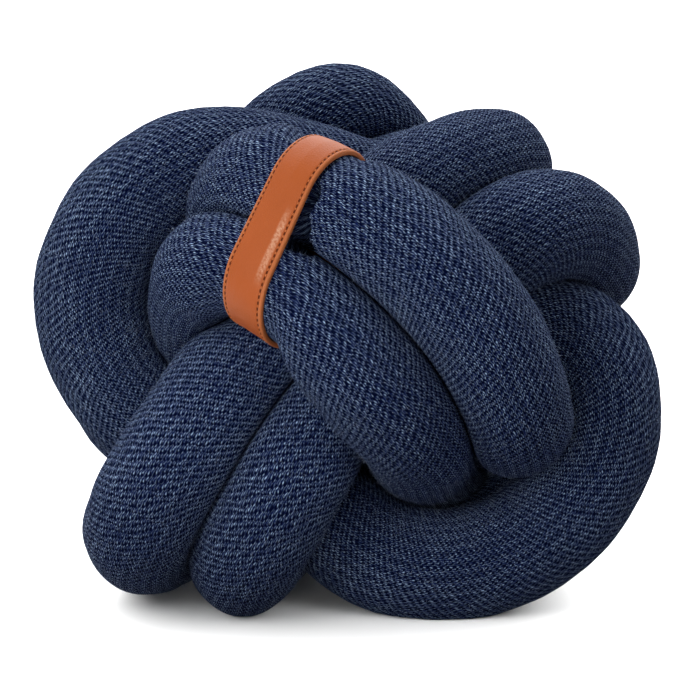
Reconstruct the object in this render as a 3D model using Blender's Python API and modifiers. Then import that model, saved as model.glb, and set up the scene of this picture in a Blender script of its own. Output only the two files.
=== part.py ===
"""Knot cushion: one long stuffed knitted tube, tied as a doubled ball knot, its two ends
joined inside so that the tube has no end, and one leather band round a pair of its strands.

The tube runs through three pairs of loops, one pair in each of three planes that cross at
right angles. Each pair goes over the next one round and under the one after it. The route
below names the places that the tube goes through; the strands then settle against each
other and against the floor, and the tube is pressed flat wherever it touches.
"""
import math
from collections import namedtuple

import bpy
import numpy as np

# Sizes in millimetres.
TUBE_RADIUS = 27.0        # free radius of the stuffed tube
STRAND_SPACING = 44.5     # distance between the middles of two strands that press together
CONTACT_GAP = 1.6         # distance left between two pressed faces of the tube
FLOOR_HEIGHT = 22.5       # height of the middle of a strand that rests on the floor
BALL_HEIGHT = 119.5       # height of the middle of the knot above the floor
TIP_BACK = 10.0           # degrees that the upright of the route leans away from the front

BAND_WIDTH = 22.0
BAND_THICKNESS = 2.2
BAND_WAIST = 2.5          # how much the band draws the tube in
BAND_DRAW_DOWN = 1.5      # how far the band draws the upper strand toward the lower one
BAND_DRAW_UP = 5.0        # how far it draws the lower strand toward the upper one
BAND_CLEARANCE = 0.4
BAND_GAP_BEHIND = 1.0     # distance from the band to a strand that crosses behind it
BAND_MARGIN = 4.0         # how far past each edge of the band the tube stays drawn in
BAND_ROUNDING = 0.6
BAND_EASE = 14.0          # length over which the tube swells again beside the band

# Resolution.
ROUTE_POINTS = 420
SETTLE_STEPS = 320
RINGS = 282
RING_BEND = 30.0          # a bend of this radius has twice the rings of a straight run
RING_BAND = 1.5           # how many times more rings the tube has under the band
TUBE_BEVEL = 7            # gives 4 + 2 * 7 = 18 sides
FINE_PER_RING = 4         # points of the fine middle line for each ring
BAND_ARC_STEPS = 14
BAND_FLAT_STEPS = 5
BAND_ROWS = 4
BAND_BEVEL_STEPS = 2
BAND_CORNER = 50.0        # degrees from which an edge of the band is rounded

# Settling.
BEND_SHARE = 0.25         # how much of its unevenness a strand loses in a step
BEND_REACH = 4            # points either way over which a bend is eased
EASE_SHARE = 0.20         # how much of a long unevenness a strand loses in a step
HOLD_SHARE = 0.5          # how much of its hold a place has in a step
HOLD_MASS = 30.0          # how much harder a held place is to push than a free one
PUSH_SHARE = 1.2          # how much of the room that two strands lack they make in a step
PUSHES = 2                # how often the strands push in a step
RESPACE_EVERY = 10        # steps between two respacings of the line's points
RESPACE_KEEP = 0.3        # share of the uneven spacing that a respacing keeps
FINISH_STEPS = 12
FINISH_REACH = 2          # points either way over which the last unevenness is eased
BEND_RADIUS = 30.0        # the tube never bends tighter than about this

# Pressing the skin.
PRESS_STEPS = 14
BAND_SHARE = 0.8          # how much of its overlap a strand behind the band loses in a step
BEND_SPANS = (0.4, 1.0)   # lengths over which a bend is read, as shares of the tube's radius
BEND_FILL = 0.78          # how near the skin comes to the centre of its own bend
LEAST_RADIUS = 4.0        # the tube is never pressed thinner than this

MM = 0.001

# Places on the route: to the right, up and toward the front of the middle of the knot, and
# how firmly the strand is held there (0 leaves it free to settle).
Place = namedtuple("Place", "name right up front hold")

LOOP_A = (
    Place("rise at the back", 42, 50, -84, .02),
    Place("rise to the top", 18, 92, -79, .12),
    Place("top lump", -13, 122, -46, .80),
    Place("top lump, left", -37, 80, -62, .30),
    Place("back left, upper", -92, 54, -38, .05),
    Place("back left, middle", -120, 7, -28, .05),
    Place("back left, lower", -108, -42, -30, .35),
    Place("under, left", -62, -58, -28, .02),
    Place("under, middle", -18, -82, -28, .02),
    Place("back, bottom", 54, -95, -28, .05),
    Place("back right, lower", 94, -68, -32, .30),
    Place("back right, upper", 102, -27, -30, .20),
    Place("inside, right", 88, 27, -22, .02),
    Place("inside, upper right", 38, 67, 0, .02),
    Place("front left arc, start", -26, 74, 6, .60),
    Place("front left arc, top", -63, 83, 24, .80),
    Place("front left arc, shoulder", -104, 70, 25, .80),
    Place("front left arc, middle", -122, 26, 24, .90),
    Place("front left arc, low", -113, -20, 16, .80),
    Place("under the left pair", -84, -47, 12, .02),
    Place("under the right pair", -42, -68, 16, .02),
    Place("front right arc, start", 4, -97, 23, .45),
    Place("front right arc, bottom", 45, -106, 29, .90),
    Place("front right arc, corner", 87, -89, 28, .80),
    Place("front right arc, side", 116, -56, 28, .90),
    Place("front right arc, upper", 121, -22, 26, .90),
    Place("front right arc, end", 108, 8, 20, .80),
    Place("into the middle, right", 81, 31, 5, .02),
    Place("through the middle", 24, 48, 5, .02),
)

LOOP_B = (
    Place("out of the middle", -49, 46, -20, .01),
    Place("back, first turn", -81, 33, -70, .02),
    Place("first back strand, left", -69, 12, -92, .10),
    Place("first back strand", -13, -21, -112, .10),
    Place("first back strand, right", 54, -60, -88, .20),
    Place("first turn forward", 52, -54, -45, .05),
    Place("first turn forward, inside", 42, -42, 22, .20),
    Place("lower front strand, end", 29, -37, 77, .80),
    Place("lower front strand, right", 12, -23, 105, .80),
    Place("lower front strand, middle", -7, 2, 115, .80),
    Place("lower front strand, band", -30, 29, 112, .80),
    Place("lower front strand, left", -50, 37, 99, .90),
    Place("lower front strand, bend", -62, 35, 66, .90),
    Place("second turn back", -54, 14, 8, .20),
    Place("second turn back, behind", -68, 38, -60, .02),
    Place("second back strand, left", -44, 54, -92, .10),
    Place("second back strand", 13, 21, -112, .10),
    Place("second back strand, right", 69, -12, -92, .10),
    Place("second turn forward", 87, -27, -50, .02),
    Place("second turn forward, inside", 74, -40, 12, .02),
    Place("upper front strand, end", 70, -33, 76, .70),
    Place("upper front strand, right", 63, 0, 103, .80),
    Place("upper front strand, middle", 33, 35, 118, .80),
    Place("upper front strand, band", -7, 59, 114, .80),
    Place("upper front strand, left", -42, 64, 86, .80),
    Place("upper front strand, bend", -56, 57, 54, .60),
    Place("third turn back", -46, 50, 5, .20),
    Place("third turn back, behind", -45, 57, -50, .02),
)

LOOP_C = (
    Place("behind the middle", -10, 18, -69, .01),
    Place("behind, rising", 30, 58, -80, .02),
    Place("upper right, back", 60, 78, -52, .05),
    Place("upper right, first strand", 69, 85, 5, .60),
    Place("upper right, first strand in", 44, 77, 45, .60),
    Place("under the front pair", 5, 43, 66, .05),
    Place("lower left strand, top", -50, -4, 70, .60),
    Place("lower left strand, middle", -75, -50, 78, .80),
    Place("lower left strand, end", -98, -80, 58, .80),
    Place("lower left strand, below", -91, -94, 0, .02),
    Place("lower left strand, back", -60, -78, -60, .02),
    Place("behind the middle again", -10, -13, -72, .01),
    Place("behind, rising again", 46, 38, -74, .01),
    Place("upper right, outer back", 94, 30, -64, .05),
    Place("upper right, outer turn", 112, 27, -36, .50),
    Place("upper right, outer side", 109, 49, 2, .60),
    Place("upper right, second strand", 91, 60, 38, .60),
    Place("upper right, second strand in", 57, 46, 62, .60),
    Place("under the front pair again", 23, 7, 66, .05),
    Place("lower middle strand, top", -11, -27, 72, .60),
    Place("lower middle strand, middle", -31, -68, 76, .80),
    Place("lower middle strand, end", -49, -95, 55, .75),
    Place("lower middle strand, below", -38, -103, 0, .02),
    Place("lower middle strand, back", -10, -83, -55, .02),
    Place("back to the start", 25, -23, -69, .01),
)

# The two places that the band goes round: the middle of the upper and of the lower strand.
BAND_UPPER = Place("band, upper strand", -17, 63, 109, 0)
BAND_LOWER = Place("band, lower strand", -32, 30, 111, 0)


def to_model(places):
    """Middle-of-knot coordinates of the places, turned upright and set above the floor."""
    lean = math.radians(TIP_BACK)
    rows = []
    for place in places:
        back = place.up * math.sin(lean) - place.front * math.cos(lean)
        height = place.up * math.cos(lean) + place.front * math.sin(lean)
        rows.append((place.right, back, height + BALL_HEIGHT))
    return np.array(rows, dtype=float)


def closed_lengths(line):
    """Length along a closed line at each of its points, and its whole length at the end."""
    steps = np.linalg.norm(np.roll(line, -1, axis=0) - line, axis=1)
    return np.concatenate([[0.0], np.cumsum(steps)])


def closed_spline(knots, holds, count):
    """Smooth closed line through the knots, read at equal steps, with the hold at each."""
    total = len(knots)
    lengths = closed_lengths(knots)
    after = np.diff(lengths)
    before = np.roll(after, 1)
    slope = (np.roll(knots, -1, axis=0) - knots) / after[:, None]
    system = np.zeros((total, total))
    for i in range(total):
        system[i, i - 1] += before[i]
        system[i, i] += 2.0 * (before[i] + after[i])
        system[i, (i + 1) % total] += after[i]
    bend = np.linalg.solve(system, 6.0 * (slope - np.roll(slope, 1, axis=0)))
    where = np.linspace(0.0, lengths[-1], count, endpoint=False)
    i = np.searchsorted(lengths, where, side="right") - 1
    j = (i + 1) % total
    step = after[i][:, None]
    late = (where - lengths[i])[:, None]
    early = step - late
    line = (bend[i] * early ** 3 + bend[j] * late ** 3) / (6.0 * step)
    line += (knots[i] / step - bend[i] * step / 6.0) * early
    line += (knots[j] / step - bend[j] * step / 6.0) * late
    return line, np.interp(where, lengths, np.append(holds, holds[0]))


def respaced(line, count, keep=0.0):
    """The closed line at equal steps; keep is the share of the old steps that stays."""
    lengths = closed_lengths(line)
    where = np.linspace(0.0, lengths[-1], count, endpoint=False)
    if keep:
        where = (1.0 - keep) * where + keep * lengths[:-1]
    ring = np.vstack([line, line[:1]])
    return np.stack([np.interp(where, lengths, ring[:, axis]) for axis in range(3)], axis=1)


def evened(line, reach):
    """Each point of a closed line where a smooth curve through four neighbours puts it, those
    at reach and at twice reach on either side."""
    near = np.roll(line, reach, axis=0) + np.roll(line, -reach, axis=0)
    wide = np.roll(line, 2 * reach, axis=0) + np.roll(line, -2 * reach, axis=0)
    return (4.0 * near - wide) / 6.0


def apart_along(count, limit):
    """True for each pair of points that lie more than limit steps apart along the line."""
    index = np.arange(count)
    steps = np.abs(index[:, None] - index[None, :])
    return np.minimum(steps, count - steps) > limit


def settled(line, holds):
    """The line after its strands have pushed each other apart and off the floor."""
    target = line.copy()
    line = line.copy()
    count = len(line)
    step = closed_lengths(line)[-1] / count
    others = apart_along(count, int(math.ceil(math.pi * BEND_RADIUS / step)))
    mass = 1.0 + HOLD_MASS * holds
    share = mass[None, :] / (mass[:, None] + mass[None, :])
    for turn in range(SETTLE_STEPS):
        line += HOLD_SHARE * holds[:, None] * (target - line)
        line += BEND_SHARE * (evened(line, 1) - line)
        line += EASE_SHARE * (evened(line, BEND_REACH) - line)
        for _ in range(PUSHES):
            away = line[:, None] - line[None, :]
            distance = np.sqrt((away ** 2).sum(axis=2)) + 1e-9
            lack = np.where(others & (distance < STRAND_SPACING), STRAND_SPACING - distance, 0.0)
            push = ((lack / distance * share)[:, :, None] * away).sum(axis=1)
            line += PUSH_SHARE * push / np.maximum((lack > 0).sum(axis=1), 1)[:, None]
        line[:, 2] = np.maximum(line[:, 2], FLOOR_HEIGHT)
        if (turn + 1) % RESPACE_EVERY == 0:
            line = respaced(line, count, keep=RESPACE_KEEP)
    for _ in range(FINISH_STEPS):
        line += EASE_SHARE * (evened(line, FINISH_REACH) - line)
    return line


def bends(line, reach):
    """How sharply a closed line of equal steps bends at each point, toward which side."""
    step = closed_lengths(line)[-1] / len(line)
    bend = np.roll(line, reach, axis=0) + np.roll(line, -reach, axis=0) - 2.0 * line
    return bend / (reach * step) ** 2


def ring_places(line, band, count):
    """Indices on a fine closed line for the tube's rings, closer in bends and at the band."""
    step = closed_lengths(line)[-1] / len(line)
    sharp = np.linalg.norm(bends(line, int(round(TUBE_RADIUS / step))), axis=1)
    density = 1.0 + RING_BEND * sharp
    density += RING_BAND * band.holds(line)
    kernel = np.hanning(2 * int(round(TUBE_RADIUS / step)) + 1)
    half = len(kernel) // 2
    padded = np.concatenate([density[-half:], density, density[:half]])
    density = np.convolve(padded, kernel / kernel.sum(), mode="valid")
    gathered = np.concatenate([[0.0], np.cumsum(density)])
    wanted = np.linspace(0.0, gathered[-1], count, endpoint=False)
    return np.round(np.interp(wanted, gathered, np.arange(len(line) + 1))).astype(int)


def route():
    """The settled middle line of the tube."""
    places = LOOP_A + LOOP_B + LOOP_C
    holds = np.array([place.hold for place in places])
    line, hold = closed_spline(to_model(places), holds, ROUTE_POINTS)
    return settled(line, hold)


def crossing(line, origin, normal, near):
    """Where the closed line goes through a plane, at the crossing nearest to a point."""
    side = (line - origin) @ normal
    after = np.roll(side, -1)
    i = np.nonzero(side * after < 0.0)[0]
    share = (side[i] / (side[i] - after[i]))[:, None]
    points = line[i] + share * (np.roll(line, -1, axis=0)[i] - line[i])
    return points[np.argmin(np.linalg.norm(points - near, axis=1))]


class Band:
    """Loop round two strands: in each plane across them, the two half circles about their
    middles and the two straight runs that join these."""

    def __init__(self, line):
        upper, lower = to_model((BAND_UPPER, BAND_LOWER))
        ahead = np.roll(line, -1, axis=0) - np.roll(line, 1, axis=0)
        ahead /= np.linalg.norm(ahead, axis=1)[:, None]
        first = np.argmin(np.linalg.norm(line - upper, axis=1))
        second = np.argmin(np.linalg.norm(line - lower, axis=1))
        across = (upper - lower) / np.linalg.norm(upper - lower)
        self.normal = ahead[first] + ahead[second]
        self.normal -= (self.normal @ across) * across
        self.normal /= np.linalg.norm(self.normal)
        if self.normal[0] < 0.0:
            self.normal = -self.normal
        self.origin = 0.5 * (upper + lower)
        self.line = line
        self.anchors = (upper, lower)
        self.inner = TUBE_RADIUS - BAND_WAIST
        self.outer = self.inner + BAND_THICKNESS

    def middles(self, offset):
        """Middles of the loop's upper and lower half circle at an offset across the band."""
        origin = self.origin + offset * self.normal
        upper, lower = [crossing(self.line, origin, self.normal, near) for near in self.anchors]
        across = (upper - lower) / np.linalg.norm(upper - lower)
        return [upper - BAND_DRAW_DOWN * across, lower + BAND_DRAW_UP * across]

    def outline(self, offset, radius):
        """Closed outline of the loop at an offset across the band."""
        upper, lower = self.middles(offset)
        across = upper - lower
        across /= np.linalg.norm(across)
        side = np.cross(self.normal, across)
        rows = []
        for start, end, middle in ((0.0, math.pi, upper), (math.pi, 2.0 * math.pi, lower)):
            for angle in np.linspace(start, end, BAND_ARC_STEPS + 1):
                rows.append(middle + radius * (math.cos(angle) * side + math.sin(angle) * across))
            target = lower if middle is upper else upper
            last = rows[-1]
            run = target - middle
            for share in np.arange(1, BAND_FLAT_STEPS) / BAND_FLAT_STEPS:
                rows.append(last + share * run)
        return rows

    def reach(self, points):
        """Offset of each point across the band, and its distance from the strands' middles."""
        offset = (points - self.origin) @ self.normal
        grid = np.linspace(-BAND_WIDTH, BAND_WIDTH, 9)
        middles = np.array([self.middles(value) for value in grid])
        held = np.clip(offset, grid[0], grid[-1])
        ends = [np.stack([np.interp(held, grid, middles[:, k, axis]) for axis in range(3)], axis=1)
                for k in range(2)]
        run = ends[1] - ends[0]
        flat = points - (offset - held)[:, None] * self.normal
        share = ((flat - ends[0]) * run).sum(axis=1) / (run ** 2).sum(axis=1)
        nearest = ends[0] + np.clip(share, 0.0, 1.0)[:, None] * run
        return offset, np.linalg.norm(flat - nearest, axis=1)

    def holds(self, line):
        """True for each point of a strand's middle line that the band goes round."""
        offset, away = self.reach(line)
        return (away < TUBE_RADIUS / 2.0) & (np.abs(offset) < 2.0 * BAND_WIDTH)


def excess(points, owners, inside, line, band):
    """How far each point of the skin reaches past where it may: past the middle between its
    own strand and the nearest other one, or into the band."""
    count = len(line)
    limit = int(math.ceil(math.pi * BEND_RADIUS * count / closed_lengths(line)[-1]))
    steps = np.abs(owners[:, None] - np.arange(count)[None, :])
    others = np.minimum(steps, count - steps) > limit
    squared = ((points ** 2).sum(axis=1)[:, None] + (line ** 2).sum(axis=1)[None, :]
               - 2.0 * points @ line.T)
    nearest = np.sqrt(np.where(others, squared, 1e9).min(axis=1))
    own = np.linalg.norm(points - line[owners], axis=1)
    past = 0.5 * np.maximum(own + CONTACT_GAP - nearest, 0.0)

    offset, away = band.reach(points)
    wide = BAND_WIDTH / 2.0 + BAND_MARGIN
    ease = np.maximum(np.abs(offset) - wide, 0.0) ** 2 / (2.0 * BAND_EASE)
    over = away - (band.inner - BAND_CLEARANCE + ease)
    under = band.outer + BAND_GAP_BEHIND - ease - away
    into = np.where(inside, over, BAND_SHARE * under)
    into[np.abs(offset) > wide + BAND_EASE] = 0.0
    return np.maximum(past, into)


def pressed(points, owners, line, band):
    """Rings of points of the tube's skin drawn in to their own middle line, until they and
    the points halfway to the next ring stay on their own side of each neighbouring strand,
    inside or outside the band, and off the floor."""
    middle = line[owners][:, None, :]
    arm = points - middle
    radius = np.linalg.norm(arm, axis=2)
    arm /= radius[:, :, None]

    # The skin on the inner side of a bend stops short of the bend's own centre.
    step = closed_lengths(line)[-1] / len(line)
    for share in BEND_SPANS:
        bend = bends(line, int(round(share * TUBE_RADIUS / step)))[owners][:, None, :]
        inward = np.maximum((arm * bend).sum(axis=2), 1e-6)
        radius = np.minimum(radius, BEND_FILL / inward)

    sides = points.shape[1]
    after = np.append(owners[1:], owners[0] + len(line))
    halfway = ((owners + after) // 2) % len(line)
    inside = band.holds(line)
    rows = [np.repeat(owners, sides), np.repeat(halfway, sides)]
    for _ in range(PRESS_STEPS):
        skin = middle + radius[:, :, None] * arm
        between = 0.5 * (skin + np.roll(skin, -1, axis=0))
        cuts = [excess(rings.reshape(-1, 3), each, inside[each], line, band).reshape(radius.shape)
                for rings, each in zip((skin, between), rows)]
        cut = np.maximum(cuts[0], np.maximum(cuts[1], np.roll(cuts[1], 1, axis=0)))
        radius = np.maximum(radius - cut, LEAST_RADIUS)
    skin = middle + radius[:, :, None] * arm
    skin[:, :, 2] = np.maximum(skin[:, :, 2], 0.0)
    return skin


def material(name, colour, roughness):
    """Plain material of one colour."""
    made = bpy.data.materials.new(name)
    made.use_nodes = True
    shader = made.node_tree.nodes["Principled BSDF"]
    shader.inputs["Base Color"].default_value = (*colour, 1.0)
    shader.inputs["Roughness"].default_value = roughness
    shader.inputs["Metallic"].default_value = 0.0
    return made


def tube_mesh(line):
    """Mesh of a round tube along the closed line, from a curve with a bevel."""
    curve = bpy.data.curves.new("tube_route", "CURVE")
    curve.dimensions = "3D"
    curve.bevel_depth = TUBE_RADIUS * MM
    curve.bevel_resolution = TUBE_BEVEL
    spline = curve.splines.new("POLY")
    spline.points.add(len(line) - 1)
    spline.points.foreach_set("co", np.column_stack([line * MM, np.ones(len(line))]).ravel())
    spline.use_cyclic_u = True
    guide = bpy.data.objects.new("tube_route", curve)
    bpy.context.scene.collection.objects.link(guide)
    evaluated = guide.evaluated_get(bpy.context.evaluated_depsgraph_get())
    mesh = bpy.data.meshes.new_from_object(evaluated)
    bpy.data.objects.remove(guide)
    bpy.data.curves.remove(curve)
    return mesh


def knot_tube(line, band, collection):
    """The tube, pressed flat where its strands touch."""
    fine = respaced(line, RINGS * FINE_PER_RING)
    places = ring_places(fine, band, RINGS)
    mesh = tube_mesh(fine[places])
    points = np.empty(len(mesh.vertices) * 3)
    mesh.vertices.foreach_get("co", points)
    points = pressed(points.reshape(RINGS, -1, 3) / MM, places, fine, band).reshape(-1, 3)
    mesh.vertices.foreach_set("co", (points * MM).ravel())
    mesh.update()
    mesh.name = "knot_tube"
    mesh.materials.clear()
    mesh.materials.append(material("knitted_tube", (0.105, 0.155, 0.285), 0.92))
    mesh.shade_smooth()
    tube = bpy.data.objects.new("knot_tube", mesh)
    collection.objects.link(tube)
    return tube, points


def leather_band(band, collection):
    """The band: a strip along the loop, thickened outward, with rounded edges."""
    offsets = np.linspace(-BAND_WIDTH / 2.0, BAND_WIDTH / 2.0, BAND_ROWS + 1)
    rows = [band.outline(offset, band.inner) for offset in offsets]
    around = len(rows[0])
    points = [tuple(point * MM) for row in rows for point in row]
    faces = []
    for i in range(BAND_ROWS):
        for j in range(around):
            k = (j + 1) % around
            faces.append((i * around + j, (i + 1) * around + j, (i + 1) * around + k, i * around + k))
    mesh = bpy.data.meshes.new("leather_band")
    mesh.from_pydata(points, [], faces)
    mesh.materials.append(material("tan_leather", (0.62, 0.29, 0.12), 0.42))
    mesh.shade_smooth()
    strip = bpy.data.objects.new("leather_band", mesh)
    collection.objects.link(strip)
    thick = strip.modifiers.new("thickness", "SOLIDIFY")
    thick.thickness = BAND_THICKNESS * MM
    thick.offset = 1.0
    soft = strip.modifiers.new("rounded edges", "BEVEL")
    soft.width = BAND_ROUNDING * MM
    soft.segments = BAND_BEVEL_STEPS
    soft.limit_method = "ANGLE"
    soft.angle_limit = math.radians(BAND_CORNER)
    return strip


def main():
    for old in list(bpy.data.objects):
        bpy.data.objects.remove(old, do_unlink=True)
    collection = bpy.data.collections.new("knot_cushion")
    bpy.context.scene.collection.children.link(collection)
    line = route()
    band = Band(line)
    tube, points = knot_tube(line, band, collection)
    strip = leather_band(band, collection)
    centre = 0.5 * (points.min(axis=0) + points.max(axis=0))
    for piece in (tube, strip):
        piece.location = (-centre[0] * MM, -centre[1] * MM, 0.0)


main()
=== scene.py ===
"""Knot cushion: one long stuffed knitted tube tied as a doubled ball knot, with a leather band
round a pair of its front strands, on a pale floor in soft light."""
import functools
import math
from collections import namedtuple

import bpy
import numpy as np
from bpy.props import FloatProperty, FloatVectorProperty, IntProperty, PointerProperty
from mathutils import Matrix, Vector


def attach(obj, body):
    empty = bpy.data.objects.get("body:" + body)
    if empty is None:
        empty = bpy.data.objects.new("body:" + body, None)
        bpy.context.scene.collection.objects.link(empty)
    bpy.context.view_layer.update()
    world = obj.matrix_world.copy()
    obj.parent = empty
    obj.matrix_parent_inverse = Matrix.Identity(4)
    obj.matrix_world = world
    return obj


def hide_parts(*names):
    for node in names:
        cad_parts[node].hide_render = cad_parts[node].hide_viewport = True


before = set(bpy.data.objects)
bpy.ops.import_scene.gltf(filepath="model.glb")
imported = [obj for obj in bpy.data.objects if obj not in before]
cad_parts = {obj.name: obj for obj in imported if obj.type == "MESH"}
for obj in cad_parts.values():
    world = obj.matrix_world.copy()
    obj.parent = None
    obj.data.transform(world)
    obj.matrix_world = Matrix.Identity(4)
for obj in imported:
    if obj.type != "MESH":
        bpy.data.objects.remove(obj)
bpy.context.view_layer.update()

bl_info = {
    "name": "Knot cushion",
    "version": (1, 0, 0),
    "blender": (4, 5, 0),
    "location": "View3D > Sidebar > Knot cushion",
    "description": "Builds a knitted knot cushion with its leather band",
    "category": "Object",
}

MM = 0.001
TURN = 2.0 * math.pi

# Sizes in millimetres.
TUBE_RADIUS = 27.0  # free radius of the stuffed tube
STRAND_SPACING = 44.5  # distance between the middles of two strands that press together
CONTACT_GAP = 0.5  # distance left between two pressed faces of the tube
FLOOR_HEIGHT = 22.5  # height of the middle of a strand that rests on the floor
BALL_HEIGHT = 119.5  # height of the middle of the knot above the floor
TIP_BACK = 10.0  # degrees that the upright of the route leans away from the front
BAND_WIDTH = 22.0
BAND_THICKNESS = 2.2
BAND_WAIST = 2.5  # how much the band draws the tube in
BAND_DRAW_DOWN = 1.5  # how far the band draws the upper strand toward the lower one
BAND_DRAW_UP = 5.0  # how far it draws the lower strand toward the upper one
BAND_CLEARANCE = 0.3
BAND_GAP_BEHIND = 1.0  # distance from the band to a strand that crosses behind it
BAND_MARGIN = 3.0  # how far past each edge of the band the tube stays drawn in
BAND_EASE = 14.0  # length over which the tube swells again left of the band
BAND_EASE_RIGHT = 5.0  # the same right of it, where the strands stand proud of the band
BAND_STEPS = 300  # points along the band's way round its strands
BAND_CORNER = 0.8  # radius of the band's edges at its face
BAND_CORNER_UNDER = 0.35  # the same at its inside
GROOVE_WIDTH = 0.45  # width of the groove that the stitches lie in

# The dark wedge right of the band. Levels are 0 at the lower strand's middle, 1 at the upper's.
WEDGE_DEPTH = 20.0
WEDGE_WIDTH = 5.5  # how far past the band's edge it reaches at its foot
WEDGE_START = (-7.0, -3.0)  # offsets from the band's edge between which it deepens
WEDGE_WALL = 3.5  # width over which its far side rises
WEDGE_TIP = 1.35  # level of its tip
WEDGE_FOOT = 0.45  # level of its wide end
WEDGE_TIP_FADE = (0.2, 0.1)  # levels above and below the tip over which it runs out
WEDGE_FOOT_FADE = 0.15  # levels below the foot over which it runs out

# Places on the route of the tube's middle line: to the right, up and toward the front of the
# middle of the knot, and how firmly the strand is held there (0 leaves it free to settle).
Place = namedtuple("Place", "name right up front hold")

LOOP_A = (
    ("rise at the back", 42, 50, -84, .02),
    ("rise to the top", 18, 92, -79, .12),
    ("top lump", -13, 122, -46, .80),
    ("top lump, left", -37, 80, -62, .30),
    ("back left, upper", -92, 54, -38, .05),
    ("back left, middle", -120, 7, -28, .05),
    ("back left, lower", -108, -42, -30, .35),
    ("under, left", -62, -58, -28, .02),
    ("under, middle", -18, -82, -28, .02),
    ("back, bottom", 54, -95, -28, .05),
    ("back right, lower", 94, -68, -32, .30),
    ("back right, upper", 102, -27, -30, .20),
    ("inside, right", 88, 27, -22, .02),
    ("inside, upper right", 38, 67, 0, .02),
    ("front left arc, start", -26, 74, 6, .60),
    ("front left arc, top", -63, 83, 24, .80),
    ("front left arc, shoulder", -104, 70, 25, .80),
    ("front left arc, middle", -122, 26, 24, .90),
    ("front left arc, low", -113, -20, 16, .80),
    ("under the left pair", -84, -47, 12, .02),
    ("under the right pair", -42, -68, 16, .02),
    ("front right arc, start", 4, -97, 23, .45),
    ("front right arc, bottom", 45, -106, 29, .90),
    ("front right arc, corner", 87, -89, 28, .80),
    ("front right arc, side", 116, -56, 28, .90),
    ("front right arc, upper", 121, -22, 26, .90),
    ("front right arc, end", 108, 8, 20, .80),
    ("into the middle, right", 81, 31, 5, .02),
    ("through the middle", 24, 48, 5, .02),
)

LOOP_B = (
    ("out of the middle", -49, 46, -20, .01),
    ("back, first turn", -81, 33, -70, .02),
    ("first back strand, left", -69, 12, -92, .10),
    ("first back strand", -13, -21, -112, .10),
    ("first back strand, right", 54, -60, -88, .20),
    ("first turn forward", 52, -54, -45, .05),
    ("first turn forward, inside", 42, -42, 22, .20),
    ("lower front strand, end", 29, -37, 77, .80),
    ("lower front strand, right", 12, -23, 105, .80),
    ("lower front strand, middle", -7, 2, 115, .80),
    ("lower front strand, band", -30, 29, 112, .80),
    ("lower front strand, left", -50, 37, 99, .90),
    ("lower front strand, bend", -62, 35, 66, .90),
    ("second turn back", -54, 14, 8, .20),
    ("second turn back, behind", -68, 38, -60, .02),
    ("second back strand, left", -44, 54, -92, .10),
    ("second back strand", 13, 21, -112, .10),
    ("second back strand, right", 69, -12, -92, .10),
    ("second turn forward", 87, -27, -50, .02),
    ("second turn forward, inside", 74, -40, 12, .02),
    ("upper front strand, end", 70, -33, 76, .70),
    ("upper front strand, right", 63, 0, 103, .80),
    ("upper front strand, middle", 33, 35, 118, .80),
    ("upper front strand, band", -7, 59, 114, .80),
    ("upper front strand, left", -42, 64, 86, .80),
    ("upper front strand, bend", -56, 57, 54, .60),
    ("third turn back", -46, 50, 5, .20),
    ("third turn back, behind", -45, 57, -50, .02),
)

LOOP_C = (
    ("behind the middle", -10, 18, -69, .01),
    ("behind, rising", 30, 58, -80, .02),
    ("upper right, back", 60, 78, -52, .05),
    ("upper right, first strand", 69, 85, 5, .60),
    ("upper right, first strand in", 44, 77, 45, .60),
    ("under the front pair", 5, 43, 66, .05),
    ("lower left strand, top", -50, -4, 70, .60),
    ("lower left strand, middle", -75, -50, 78, .80),
    ("lower left strand, end", -98, -80, 58, .80),
    ("lower left strand, below", -91, -94, 0, .02),
    ("lower left strand, back", -60, -78, -60, .02),
    ("behind the middle again", -10, -13, -72, .01),
    ("behind, rising again", 46, 38, -74, .01),
    ("upper right, outer back", 94, 30, -64, .05),
    ("upper right, outer turn", 112, 27, -36, .50),
    ("upper right, outer side", 109, 49, 2, .60),
    ("upper right, second strand", 91, 60, 38, .60),
    ("upper right, second strand in", 57, 46, 62, .60),
    ("under the front pair again", 23, 7, 66, .05),
    ("lower middle strand, top", -11, -27, 72, .60),
    ("lower middle strand, middle", -31, -68, 76, .80),
    ("lower middle strand, end", -49, -95, 55, .75),
    ("lower middle strand, below", -38, -103, 0, .02),
    ("lower middle strand, back", -10, -83, -55, .02),
    ("back to the start", 25, -23, -69, .01),
)

BAND_UPPER = Place("band, upper strand", -17, 63, 109, 0)
BAND_LOWER = Place("band, lower strand", -32, 30, 111, 0)

# Settling of the middle line. Shares are the part of a step that is taken in each turn.
ROUTE_POINTS = 420
SETTLE_STEPS = 320
BEND_SHARE = 0.25  # toward the curve through the nearest points
BEND_REACH = 4  # points on each side that the wider curve goes through
EASE_SHARE = 0.20  # toward the wider curve
HOLD_SHARE = 0.5  # back toward the place in the table
HOLD_MASS = 30.0  # how much harder a held strand is to push
PUSH_SHARE = 1.2  # away from strands that are too near
PUSHES = 2  # pushes in each turn
RESPACE_EVERY = 10  # turns between two evenings of the steps
RESPACE_KEEP = 0.3  # share of the old steps that stays
FINISH_STEPS = 12
FINISH_REACH = 2
BEND_RADIUS = 30.0  # points within half a turn of this radius don't press on each other

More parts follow.
